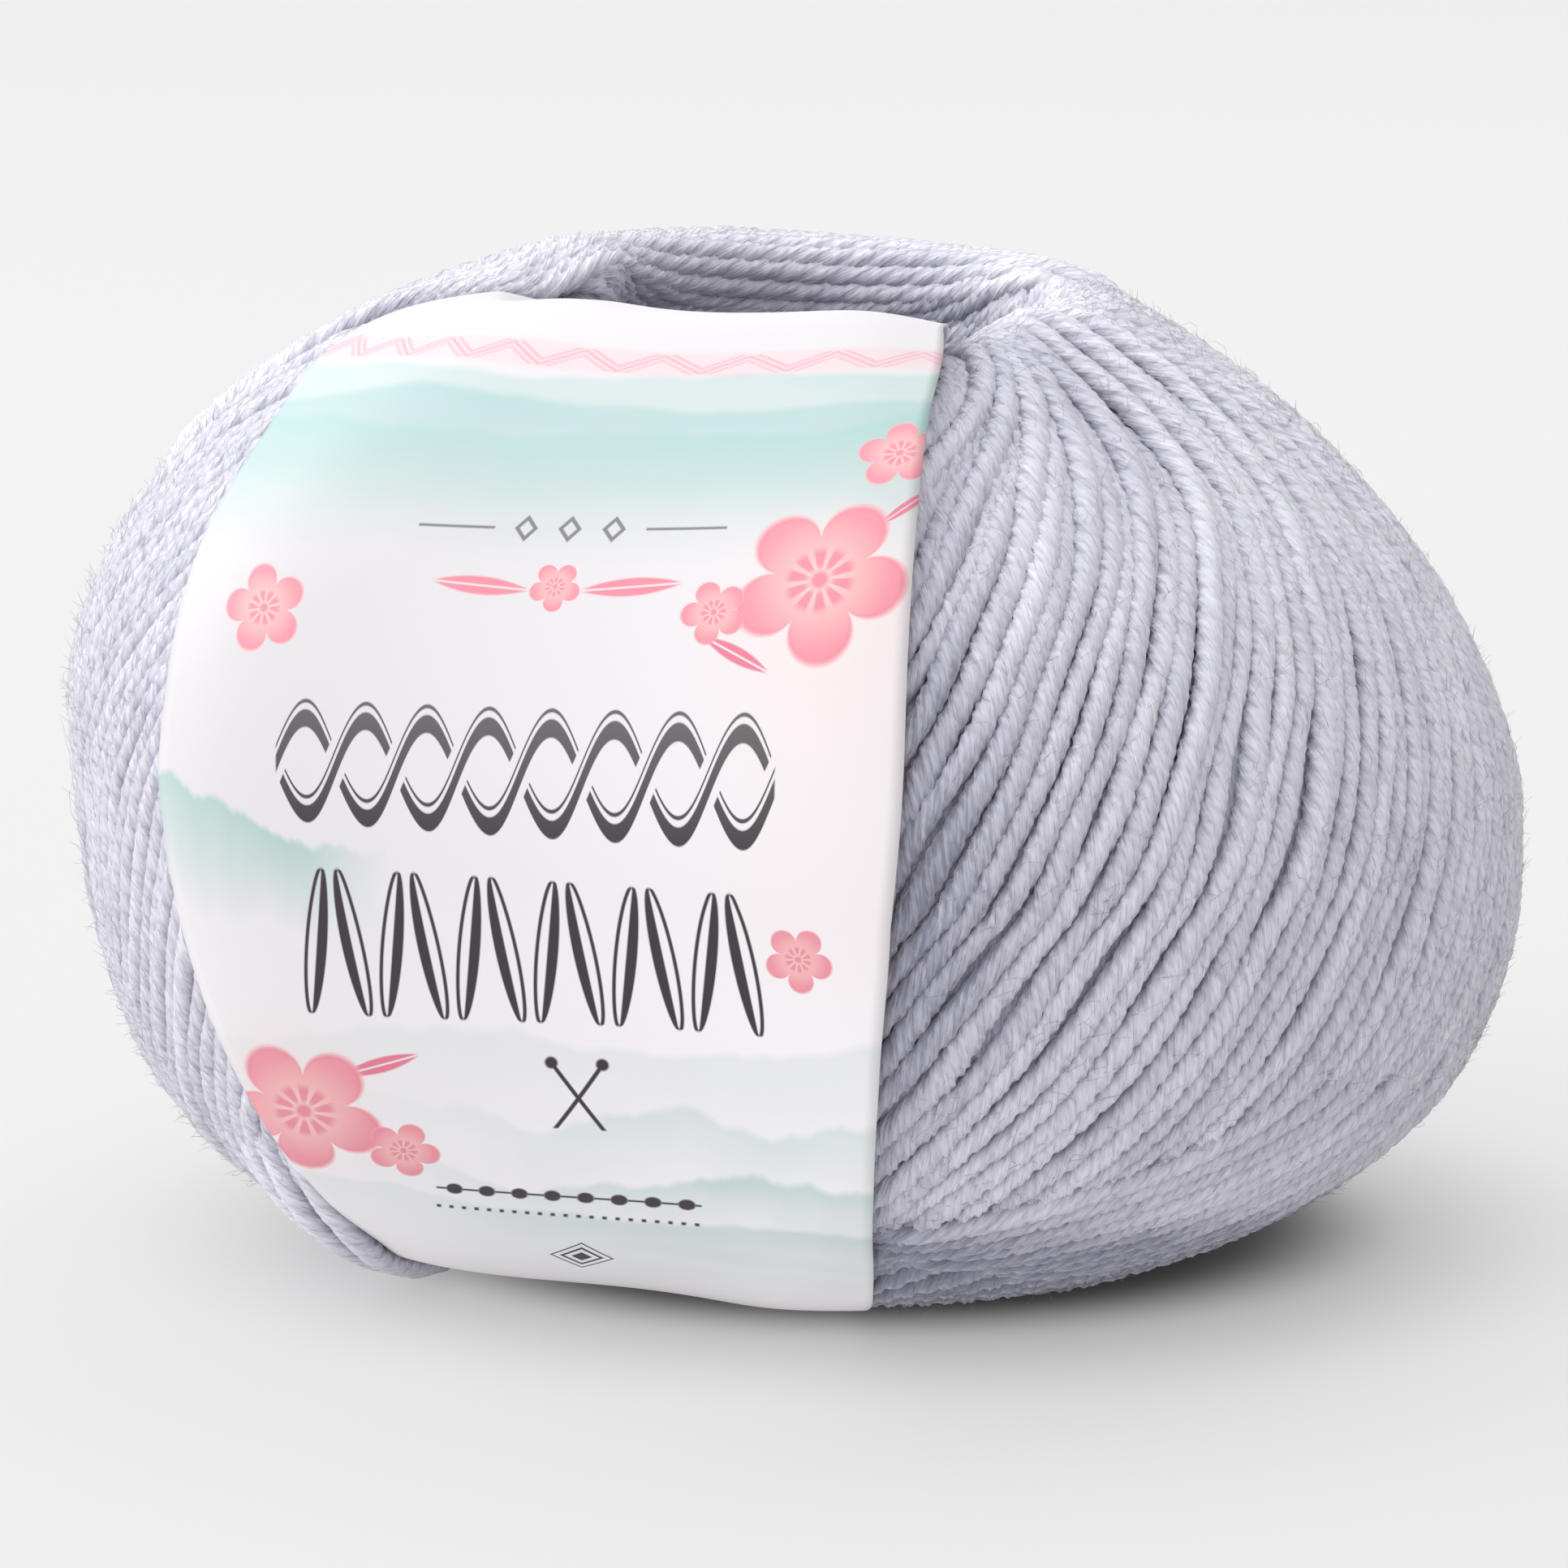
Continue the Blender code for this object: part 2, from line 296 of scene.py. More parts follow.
ROOM_SLANT = (-0.68, -0.12, 0.56)  # towards the windows, and how much brighter the room is there
ROOM_STRENGTH = 0.755
ROOM_LEAST = 0.06
LAMPS = (
    # name, size in m, power in W, place
    ("window_light", 1.2, 6.3, (-1.12, -0.45, 0.7)),
    ("ceiling_light", 0.8, 3.4, (0.2, 0.5, 1.15)),
)


def smooth_step(low, high, value):
    """0 below low, 1 above high, and a smooth rise between them."""
    share = np.clip((value - low) / (high - low), 0.0, 1.0)
    return share * share * (3.0 - 2.0 * share)


def smooth_fall(reach, distance):
    """1 at no distance, 0 at a reach and beyond, and a smooth fall between them."""
    return 1.0 - smooth_step(0.0, reach, distance)


def unit(vectors):
    return vectors / np.linalg.norm(vectors, axis=-1, keepdims=True)


# ---- The wound form ----


def outer_radius(azimuth):
    facing = np.cos(azimuth)
    flat = FRONT_FLAT / np.maximum(facing, 0.1)
    blended = (BALL_RADIUS ** -FLAT_SHARPNESS + flat ** -FLAT_SHARPNESS) ** (-1.0 / FLAT_SHARPNESS)
    return np.where(facing < 0.1, BALL_RADIUS, blended)


def lower_power(azimuth):
    eased = LOWER_EASED * np.maximum(np.cos(azimuth - EASED_AZIMUTH), 0.0) ** 2
    fuller = LOWER_FULLER * np.maximum(np.cos(azimuth - FULLER_AZIMUTH), 0.0) ** 2
    return LOWER_POWER - eased + fuller


def section(azimuth, turn):
    """Distance from the axis and height of the ring's section at a turn."""
    turn = turn % FULL_TURN
    upper = np.sin(turn) >= 0.0
    height = np.where(upper, UPPER_HEIGHT, LOWER_HEIGHT)
    power = np.where(upper, UPPER_POWER, lower_power(azimuth))
    widest = outer_radius(azimuth)
    folded = np.where(turn <= HALF_TURN, turn, FULL_TURN - turn)
    last = np.arccos((LIP_RADIUS / widest) ** (power / 2.0))
    angle = np.minimum(folded / QUARTER_TURN, 1.0) * last
    outer = widest * np.cos(angle) ** (2.0 / power)
    outer_level = height * np.sin(angle) ** (2.0 / power)
    share = np.maximum(folded / QUARTER_TURN - 1.0, 0.0)
    rolled = np.minimum(share / LIP_SHARE, 1.0) * QUARTER_TURN
    inner = LIP_RADIUS - LIP_ROUNDING * np.sin(rolled)
    inner_level = height * (1.0 - (inner / widest) ** power) ** (1.0 / power)
    inner_level = inner_level - LIP_ROUNDING * (1.0 - np.cos(rolled))
    down = np.clip((share - LIP_SHARE) / (1.0 - LIP_SHARE), 0.0, 1.0)
    inner = HOLE_RADIUS + (inner - HOLE_RADIUS) * (1.0 - down) ** 2
    inner_level = inner_level * (1.0 - down)
    outside = folded <= QUARTER_TURN
    level = np.where(outside, outer_level, inner_level)
    return np.where(outside, outer, inner), np.where(upper, level, -level)


def band_edges(turn):
    """Azimuths of the band's two edges at a turn, on smooth curves through its table's rows."""
    rows = np.array(BAND_EDGES)
    count = len(rows)
    degrees = np.degrees(turn) % 360.0
    row = np.searchsorted(rows[:, 0], degrees, side="right") - 1
    before, start, end, after = (rows[(row + offset) % count] for offset in (-1, 0, 1, 2))
    length = (end[..., 0] - start[..., 0]) % 360.0
    length_before = (start[..., 0] - before[..., 0]) % 360.0
    length_after = (after[..., 0] - end[..., 0]) % 360.0
    share = (degrees - start[..., 0]) / length
    rise = share * share * (3.0 - 2.0 * share)
    edges = []
    for side in (1, 2):
        leaving = (end[..., side] - before[..., side]) * length / (length_before + length)
        arriving = (after[..., side] - start[..., side]) * length / (length + length_after)
        azimuth = start[..., side] + (end[..., side] - start[..., side]) * rise
        azimuth = azimuth + share * (1.0 - share) * (leaving * (1.0 - share) - arriving * share)
        edges.append(np.radians(azimuth))
    return edges


def wrapped(azimuth):
    return (azimuth + HALF_TURN) % FULL_TURN - HALF_TURN


def beside_band(azimuth, turn):
    """Angle by which a point lies outside the band's nearer edge, below 0 under the band."""
    left, right = band_edges(turn)
    azimuth = wrapped(azimuth)
    return np.maximum(left - azimuth, azimuth - right)


def band_bite(azimuth, turn):
    """Depth by which the taut band presses the upper lip."""
    left, right = band_edges(turn)
    across = (wrapped(azimuth) - (left + right) / 2.0) / ((right - left) / 2.0)
    square = np.minimum(across * across, 1.0)
    depth = BITE_MIDDLE + (BITE_EDGE - BITE_MIDDLE) * square + BITE_SKEW * across * (1.0 - square)
    fade = smooth_fall(BITE_MARGIN, beside_band(azimuth, turn))
    turn = turn % FULL_TURN
    depth = depth * smooth_fall(BITE_REACH, np.abs(turn - BITE_TURN))
    tuck = smooth_fall(TUCKED_REACH, np.abs(turn - TUCKED_TURN))
    return (depth + tuck * smooth_step(TUCKED_FROM, -1.0, across) * TUCKED_IN) * fade


def rear_recess(azimuth, turn):
    """Depth by which the yarn in the hole's rear wall lies under the form."""
    turn = turn % FULL_TURN
    aside = np.abs(wrapped(azimuth - RECESS_AZIMUTH))
    depth = smooth_step(*RECESS_TURNS, turn) * (1.0 - smooth_step(*RECESS_END, turn))
    return RECESS * depth * (1.0 - smooth_step(*RECESS_REACH, aside))


def ring_point(azimuth, turn):
    radius, level = section(azimuth, turn)
    level = level - band_bite(azimuth, turn)
    return np.stack([radius * np.sin(azimuth), -radius * np.cos(azimuth), level], axis=-1)


def ring_normal(azimuth, turn):
    step = 0.001
    along = ring_point(azimuth, turn + step) - ring_point(azimuth, turn - step)
    around = ring_point(azimuth + step, turn) - ring_point(azimuth - step, turn)
    return unit(np.cross(around, along))


def settle(points):
    """Leans and slumps points, with the floor at height 0."""
    across = np.array([math.cos(LEAN_AZIMUTH), math.sin(LEAN_AZIMUTH), 0.0])
    sideways = points @ across
    leaned = sideways * math.cos(LEAN) + points[..., 2] * math.sin(LEAN)
    level = points[..., 2] * math.cos(LEAN) - sideways * math.sin(LEAN)
    height = level / ((UPPER_HEIGHT + LOWER_HEIGHT) / 2.0)
    leaned = leaned + SLUMP_BOW * (height ** 2 - 0.4) + SLUMP_SLANT * (height ** 3 - 0.6 * height)
    settled = points + across * (leaned - sideways)[..., None]
    settled[..., 2] = level + LOWER_HEIGHT - SETTLED
    return settled


def form_point(azimuth, turn, lift):
    """Point at a height over the settled form, before the frame's origin is put under it."""
    azimuth, turn, lift = np.broadcast_arrays(azimuth, turn, lift)
    return settle(ring_point(azimuth, turn) + ring_normal(azimuth, turn) * lift[..., None])


def frame_place():
    """Where the form's axis lies in the frame: the solid band is the form's, over its edges."""
    turns, across = np.meshgrid(np.linspace(0.0, FULL_TURN, FINE_POINTS),
                                np.linspace(0.0, 1.0, BAND_POINTS))
    left, right = band_edges(turns)
    band = form_point(left + (right - left) * across, turns, BAND_OUTER)
    low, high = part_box("label_band")
    middle = (band.min(axis=(0, 1)) + band.max(axis=(0, 1))) / 2.0
    place = (np.array(low) + np.array(high)) / 2.0 - middle
    return place * (1.0, 1.0, 0.0)


# ---- Meshes and materials ----


def grid_quads(rows, columns, closed_rows=False, closed_columns=True):
    """The faces between the points of a grid, by the points' numbers."""
    row, column = np.meshgrid(np.arange(rows if closed_rows else rows - 1),
                              np.arange(columns if closed_columns else columns - 1), indexing="ij")
    below, beside = (row + 1) % rows, (column + 1) % columns
    corners = ((row, column), (row, beside), (below, beside), (below, column))
    return np.stack([down * columns + over for down, over in corners], axis=-1).reshape(-1, 4)


def grid_uv(rows, columns):
    """The places of those faces' corners in a map, from the place of each row and column."""
    low, left = np.meshgrid(rows[:-1], columns[:-1], indexing="ij")
    high, right = np.meshgrid(rows[1:], columns[1:], indexing="ij")
    corners = ((low, left), (low, right), (high, right), (high, left))
    return np.stack([np.stack(corner, axis=-1) for corner in corners], axis=2).reshape(-1, 2)


def new_object(name, data):
    thing = bpy.data.objects.new(name, data)
    bpy.context.scene.collection.objects.link(thing)
    return thing


def fill(items, key, values, kind=np.float32):
    items.foreach_set(key, np.ascontiguousarray(values, kind).ravel())


def mesh_piece(name, points, quads, material, maps, tones=None):
    """A smooth mesh object of quads. maps holds named UV layers, with a value for each corner."""
    mesh = bpy.data.meshes.new(name)
    mesh.vertices.add(len(points))
    fill(mesh.vertices, "co", points)
    mesh.loops.add(quads.size)
    fill(mesh.loops, "vertex_index", quads, np.int32)
    mesh.polygons.add(len(quads))
    fill(mesh.polygons, "loop_start", np.arange(len(quads)) * 4, np.int32)
    mesh.update(calc_edges=True)
    for layer, values in maps.items():
        fill(mesh.uv_layers.new(name=layer).data, "uv", values)
    if tones is not None:
        fill(mesh.attributes.new("tone", "FLOAT", "POINT").data, "value", tones)
    mesh.validate()
    mesh.shade_smooth()
    mesh.materials.append(material)
    return new_object(name, mesh)


def node_adder(tree):
    """A function that adds a node to a tree, with its inputs set or linked."""
    def add(kind, inputs=(), **settings):
        node = tree.nodes.new(kind)
        for key, value in settings.items():
            setattr(node, key, value)
        for key, value in dict(inputs).items():
            if isinstance(value, bpy.types.NodeSocket):
                tree.links.new(value, node.inputs[key])
            else:
                node.inputs[key].default_value = value
        return node
    return add


def new_material(name, **inputs):
    """A material with its Principled shader, and functions that add and link its nodes."""
    material = bpy.data.materials.new(name)
    material.use_nodes = True
    tree = material.node_tree
    shader = tree.nodes["Principled BSDF"]
    for key, value in inputs.items():
        shader.inputs[key.replace("_", " ")].default_value = value
    return material, shader, node_adder(tree), tree.links.new


class Field:
    """A number at each point of a surface, worked out by math nodes."""

    def __init__(self, add, socket):
        self.add = add
        self.socket = socket

    def math(self, operation, *others, clamped=False):
        values = [self.socket, *(getattr(other, "socket", other) for other in others)]
        node = self.add("ShaderNodeMath", enumerate(values), operation=operation, use_clamp=clamped)
        return Field(self.add, node.outputs[0])

    def __add__(self, other):
        return self.math("ADD", other)

    def __sub__(self, other):
        return self.math("SUBTRACT", other)

    def __mul__(self, other):
        return self.math("MULTIPLY", other)

    def __or__(self, other):
        """Where either of two masks is."""
        return self.math("MAXIMUM", other)

    def __abs__(self):
        return self.math("ABSOLUTE")

    def flipped(self):
        """The mask of everything else."""
        return self.math("MULTIPLY_ADD", -1.0, 1.0)

    def below(self, level, softness=0.12):
        """A mask that is 1 where the field is below a level."""
        far = self.math("SUBTRACT", level)
        return far.math("MULTIPLY_ADD", -1.0 / softness, 0.5, clamped=True)

    def above(self, level, softness=0.12):
        return self.below(level, softness).flipped()

    def within(self, low, high, softness=0.12):
        return self.above(low, softness) * self.below(high, softness)

    def repeated(self, pitch):
        """Distance to the middle of the nearest repeat, with its sign."""
        return self.math("WRAP", pitch / 2.0, -pitch / 2.0)


def blended(under, over, mask):
    """One colour over another, where the mask is."""
    mixed = mask.add("ShaderNodeMix", {0: mask.socket, 6: under, 7: over}, data_type="RGBA")
    return mixed.outputs[2]


def noise(across, along, detail=2.0):
    """A noise field from two fields, one noise cell to each unit of them."""
    place = across.add("ShaderNodeCombineXYZ", {0: across.socket, 1: along.socket})
    inputs = {"Vector": place.outputs[0], "Scale": 1.0, "Detail": detail}
    return Field(across.add, across.add("ShaderNodeTexNoise", inputs).outputs[0])


def map_fields(add, layer):
    """The two fields of a named UV layer."""
    place = add("ShaderNodeUVMap", uv_map=layer)
    split = add("ShaderNodeSeparateXYZ", {0: place.outputs[0]})
    return Field(add, split.outputs[0]), Field(add, split.outputs[1])


def make_yarn_material():
    material, shader, add, link = new_material(
        "plied_yarn", Roughness=0.85, Specular_IOR_Level=0.2,
        Sheen_Weight=1.0, Sheen_Roughness=0.42, Sheen_Tint=(0.96, 0.955, 1.0, 1.0))
    along, around = map_fields(add, "strand")
    # This attribute carries each strand's own tone together with the painted shade and highlight
    tone = Field(add, add("ShaderNodeAttribute", attribute_name="tone").outputs["Fac"])
    singles = noise(along * 0.3, around * 15.0, 3.0)
    hairs = noise(along * 0.8, around * 38.0, 2.0)
    blotches = noise(along * 0.14, around * 1.0)
    shade = singles * 0.62 + hairs * 0.38 + blotches * 0.3 + tone * 0.16
    ramp = add("ShaderNodeValToRGB", {0: shade.socket})
    dark, pale = ramp.color_ramp.elements
    dark.position, dark.color = 0.26, (0.30, 0.30, 0.395, 1.0)
    pale.position, pale.color = 0.94, (0.90, 0.895, 0.985, 1.0)
    ramp.color_ramp.elements.new(0.52).color = (0.60, 0.593, 0.692, 1.0)
    link(ramp.outputs[0], shader.inputs["Base Color"])
    height = singles + hairs * 0.5
    bump = add("ShaderNodeBump", {"Height": height.socket, "Strength": 1.0, "Distance": 0.2 * MM})
    link(bump.outputs[0], shader.inputs["Normal"])
    return material


# ---- The strands ----


def swirl(turn):
    """Azimuth by which a strand has drifted at a turn."""
    depth = np.clip(-turn / EVENED_BELOW, 1e-9, 1.0)
    evened = np.maximum(turn, 0.0) - EVENED_BELOW * depth ** (2.0 / LOWER_POWER)
    turn = np.where(depth < 1.0, evened, turn)
    return SWIRL * np.sin(turn) * (1.0 - SWIRL_EASED * np.cos(turn) ** 2)


def fan_shift(start, turn):
    """Azimuth by which a strand is drawn into the fan at the upper lip."""
    aside = wrapped(start - FAN_START)
    reach = FAN_REACH[0] if aside < 0.0 else FAN_REACH[1]
    drawn = FAN_DRAWN * math.exp(-((aside / reach) ** 2))
    return -aside * drawn * smooth_step(*FAN_TURNS, turn)


def lengths_along(points):
    """Length of a path, or of each row of a grid, up to each of its points."""
    steps = np.linalg.norm(np.diff(points, axis=-2), axis=-1)
    return np.concatenate([np.zeros_like(steps[..., :1]), np.cumsum(steps, axis=-1)], axis=-1)


def even_steps(azimuth, turn, step):
    """A path on the form, given at even steps of its length."""
    lengths = lengths_along(form_point(azimuth, turn, 0.0))
    count = max(int(round(lengths[-1] / step)), 2)
    wanted = np.linspace(0.0, lengths[-1], count + 1)
    return np.interp(wanted, lengths, azimuth), np.interp(wanted, lengths, turn), wanted


def wander(along, random, amplitude, longest=LONGEST_WAVE):
    """A soft irregular wave along a strand."""
    total = np.zeros_like(along)
    for octave in range(3):
        length = longest / (1.9 ** octave) * random.uniform(0.8, 1.25)
        phase = random.uniform(0.0, FULL_TURN)
        total += np.sin(along / length * FULL_TURN + phase) / (1.35 ** octave)
    return total * amplitude / 1.6


def painted_shading(azimuth, turn):
    """Painted shade: how much darker the yarn is drawn where little light reaches it, less a
    painted highlight on the shoulders.
    """
    azimuth = wrapped(azimuth)
    recess = rear_recess(azimuth, turn) / RECESS
    fan = np.exp(-sum((wrapped(angle - middle) / size) ** 2
                      for angle, middle, size in zip((azimuth, turn), FAN_MIDDLE, FAN_SIZE)))
    level = smooth_step(*SHADED_TURNS, np.abs(wrapped(turn - SHADED_TURN)))
    beside = smooth_fall(SHADED_BESIDE, beside_band(azimuth, turn))
    beside = beside * (azimuth > 0.0) * (SHADED_LEAST + (1.0 - SHADED_LEAST) * level)
    under = np.clip(np.sin(azimuth), 0.0, 1.0) * smooth_step(*UNDER_TURNS, turn)
    shoulder = smooth_step(*SHOULDER_AZIMUTHS, azimuth) * smooth_step(*SHOULDER_END, azimuth)
    shoulder = shoulder * smooth_step(*SHOULDER_TURNS, turn)
    return (RECESS_PAINTED_SHADE * recess + FAN_PAINTED_SHADE * fan + BAND_EDGE_PAINTED_SHADOW * beside + UNDER_PAINTED_SHADE * under
            - SHOULDER_PAINTED_HIGHLIGHT * shoulder)


def strand_mesh(azimuth, turn, along, lift, half_width, phase, bundle):
    """Adds to a bundle one run of a plied strand: rings that turn with the plies, and two caps."""
    middle = form_point(azimuth, turn, lift)
    middle[:, 2] = np.maximum(middle[:, 2], LOWEST_MIDDLE)
    outward = form_point(azimuth, turn, lift + MM) - form_point(azimuth, turn, lift - MM)
    ahead = unit(np.gradient(middle, axis=0))
    side = unit(np.cross(ahead, outward))
    out = np.cross(side, ahead)
    lobe = np.tile(PLY_PROFILE, PLIES)
    angle = np.arange(SIDES) / SIDES * FULL_TURN + (along / LAY * FULL_TURN + phase)[:, None]
    across = (half_width[:, None] * lobe * np.cos(angle))[..., None]
    up = (HALF_HEIGHT * lobe * np.sin(angle))[..., None]
    points = middle[:, None] + side[:, None] * across + out[:, None] * up
    points[..., 2] = np.maximum(points[..., 2], LOWEST_LIFT)
    rings = len(along)
    ladder = np.arange(SIDES // 2 - 1)
    cap = np.stack([ladder, SIDES - 1 - ladder, SIDES - 2 - ladder, ladder + 1], axis=-1)
    caps = np.concatenate([cap, cap[:, ::-1] + (rings - 1) * SIDES])
    cap_uv = np.repeat(caps.reshape(-1, 1) % SIDES / SIDES, 2, axis=1)
    uv = grid_uv(along / MM + bundle["shift"], np.arange(SIDES + 1) / SIDES)
    # Painted shade on the strand's sides, in the grooves beside the next
    groove = smooth_step(*GROOVE_LEVELS, np.sin(angle))
    # The strand's own tone, less painted shade where little light reaches it and in the grooves,
    # with a painted highlight on the shoulders
    tones = bundle["tone"] - painted_shading(azimuth, turn)[:, None] - GROOVE_PAINTED_SHADE * groove
    bundle["points"].append(points.reshape(-1, 3))
    bundle["quads"].append(np.concatenate([grid_quads(rings, SIDES), caps]) + bundle["count"])
    bundle["uv"].append(np.concatenate([uv, cap_uv]))
    bundle["tones"].append(tones.ravel())
    bundle["count"] += rings * SIDES


def new_bundle():
    return {"points": [], "quads": [], "uv": [], "tones": [], "count": 0, "tone": 0.5, "shift": 0.0}


def lay_strand(path, random, lift, half_width, bundle, paler=0.0):
    """Adds to a bundle what shows of a strand, which is left out under the band."""
    azimuth, turn, along = path
    # A random tone for the strand, and how much paler it is drawn, which for the loops is painted
    # light and shade
    bundle["tone"] = random.uniform(0.0, 1.0) + paler
    bundle["shift"] = random.uniform(0.0, 900.0)
    phase = random.uniform(0.0, FULL_TURN)
    lift = lift + wander(along, random, HEIGHT_WANDER) + wander(along, random, LUMPS, LUMP_LENGTH)
    lift = lift - rear_recess(azimuth, turn)
    half_width = np.broadcast_to(half_width, along.shape)
    shown = beside_band(azimuth, turn) > -TUCK
    edges = np.flatnonzero(np.diff(np.concatenate([[0], shown.astype(int), [0]])))
    for begin, end in zip(edges[::2], edges[1::2]):
        if end - begin >= SHORTEST_RUN:
            run = (values[begin:end] for values in (azimuth, turn, along, lift, half_width))
            strand_mesh(*run, phase, bundle)


def step_lift(start, turn):
    """The last strands of a pass stand proud, and those beside them lie lower."""
    off = wrapped(start - PROUD_AZIMUTH)
    proud = np.where(off <= 0.0, PROUD_LIFT, PROUD_DROP) * math.exp(-((off / PROUD_WIDTH) ** 2))
    return proud * smooth_step(*PROUD_FROM, turn) * (1.0 - smooth_step(*PROUD_TO, turn))


def strand_starts(random):
    """Azimuth of each strand at the widest ring, unevenly spaced."""
    gaps = 1.0 + STRAND_UNEVENNESS * random.standard_normal(STRANDS)
    middle = np.arange(STRANDS) / STRANDS * FULL_TURN
    gaps *= 1.0 + CROWDING * np.cos(2.0 * (middle - CROWDING_AZIMUTH))
    gaps = np.clip(gaps, *SPACES)
    return np.cumsum(gaps) / gaps.sum() * FULL_TURN, gaps


def make_strands(material, origin):
    """The ball's turns of yarn, in sectors. One strand in three runs on through the hole."""
    random = np.random.default_rng(20)
    starts, gaps = strand_starts(random)
    bundles = [new_bundle() for _ in range(SECTORS)]
    for number, (start, gap) in enumerate(zip(starts, gaps)):
        layer = number % LAYERS
        last = HALF_TURN if layer == 0 else ENDING_TURNS[1]
        turn = np.linspace(-last, last, FINE_POINTS)
        azimuth = start + swirl(turn) + fan_shift(start, turn)
        azimuth, turn, along = even_steps(azimuth, turn, RING_STEP)
        azimuth = azimuth + wander(along, random, SIDE_WANDER)
        folded = np.abs(turn)
        near_lip = smooth_step(*PILED_TURNS, folded)
        lift = -HALF_HEIGHT - near_lip * layer * LAYER_DROP * random.uniform(0.7, 1.3)
        lift = lift + random.normal(0.0, HEIGHT_SPREAD) * MM
        lift = lift - layer * HOLE_DROP * smooth_step(*ENDING_TURNS, folded)
        open_air = smooth_step(0.0, CLEAR_OF_BAND, beside_band(azimuth, turn))
        lift = lift + step_lift(start, turn) * open_air
        radius, _ = section(azimuth, turn)
        slope = np.gradient(azimuth) * radius / RING_STEP
        space = FULL_TURN / STRANDS * gap * radius * np.sqrt(np.clip(1.0 - slope ** 2, 0.2, 1.0))
        space = space * (1.0 + near_lip * (LAYERS - 1) * 0.5)
        half_width = np.clip(space * WIDTH_OF_SPACE, NARROWEST, WIDEST)
        bundle = bundles[int(number * SECTORS / STRANDS)]
        lay_strand((azimuth, turn, along), random, lift, half_width, bundle)
    for index, bundle in enumerate(bundles):
        finish_bundle(f"yarn_strands_{index + 1}", bundle, material, origin)


def finish_bundle(name, bundle, material, origin):
    arrays = (np.concatenate(bundle[key]) for key in ("points", "quads", "uv", "tones"))
    yarn_piece(name, *arrays, material, origin)


def yarn_piece(name, points, quads, uv, tones, material, origin):
    piece = mesh_piece(name, points + origin, quads, material, {"strand": uv}, tones)
    dress(piece, "yarn_ball")


def dress(piece, node):
    """Has a piece ride on the part in place of one of its nodes."""
    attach(piece, "root")
    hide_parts(node)


def make_loops(loops, material, origin):
    """Strands of the last pass side by side, each a tilted loop that sinks in at both ends."""
    name, first, step, runs, tilt, sweep, fade, height, paler = loops
    random = np.random.default_rng(7)
    bundle = new_bundle()
    tilt = math.radians(tilt)
    away = np.radians(np.linspace(*sweep, LOOP_POINTS))
    extremes = np.radians(np.concatenate([np.linspace(*run) for run in runs]))
    for number, most in enumerate(extremes):
        turn = np.arctan(math.tan(tilt) * np.cos(away)) * most / tilt
        azimuth = math.radians(first + number * step) + away
        azimuth, turn, along = even_steps(azimuth, turn, RING_STEP)
        azimuth = azimuth + wander(along, random, SIDE_WANDER * 0.7)
        sink_in, sink_out = (length * MM * random.uniform(0.7, 1.2) for length in fade)
        ends = smooth_step(0.0, sink_in, along) * smooth_step(0.0, sink_out, along[-1] - along)
        lift = -HALF_HEIGHT + height * MM - (1.0 - ends) * LOOP_SUNK * MM
        open_air = smooth_step(-2.0 * DEGREE, CLEAR_OF_BAND, beside_band(azimuth, turn))
        lift = lift - (1.0 - open_air) * height * MM
        lay_strand((azimuth, turn, along), random, lift, LOOP_WIDTH, bundle, paler)
    finish_bundle(name, bundle, material, origin)


def make_edge_turns(material, origin):
    """The strands that run along the band's left edge and stand out beside it near the floor."""
    random = np.random.default_rng(12)
    bundle = new_bundle()
    for gap, most in zip(EDGE_GAPS, EDGE_LIFTS):
        turn = np.linspace(*EDGE_TURNS, EDGE_POINTS)
        azimuth, turn, along = even_steps(band_edges(turn)[0] - math.radians(gap), turn, RING_STEP)
        end = smooth_step(0.0, EDGE_FADE, along[-1] - along)
        raised = (EDGE_SUNK + most) * smooth_step(*EDGE_RISE, turn) * end
        lift = -HALF_HEIGHT + (raised - EDGE_SUNK) * MM
        lay_strand((azimuth, turn, along), random, lift, EDGE_WIDTH, bundle, EDGE_PALER)
    finish_bundle("yarn_edge_turns", bundle, material, origin)


def make_core(material, origin):
    """The layers of yarn below, which show only between the strands."""
    turn, azimuth = np.meshgrid(np.arange(CORE_ROWS) / CORE_ROWS * FULL_TURN,
                                np.arange(CORE_COLUMNS) / CORE_COLUMNS * FULL_TURN, indexing="ij")
    points = form_point(azimuth, turn, -CORE_DEPTH - rear_recess(azimuth, turn)).reshape(-1, 3)
    points[:, 2] = np.maximum(points[:, 2], LOWEST_MIDDLE)
    uv = grid_uv(np.arange(CORE_ROWS + 1) * 2.0, np.arange(CORE_COLUMNS + 1) / 3.0)
    quads = grid_quads(CORE_ROWS, CORE_COLUMNS, closed_rows=True)
    # Painted shade: the layers below are drawn darker, for the shade between the strands
    tones = np.full(len(points), CORE_PAINTED_SHADE)
    yarn_piece("yarn_core", points, quads, uv, tones, material, origin)


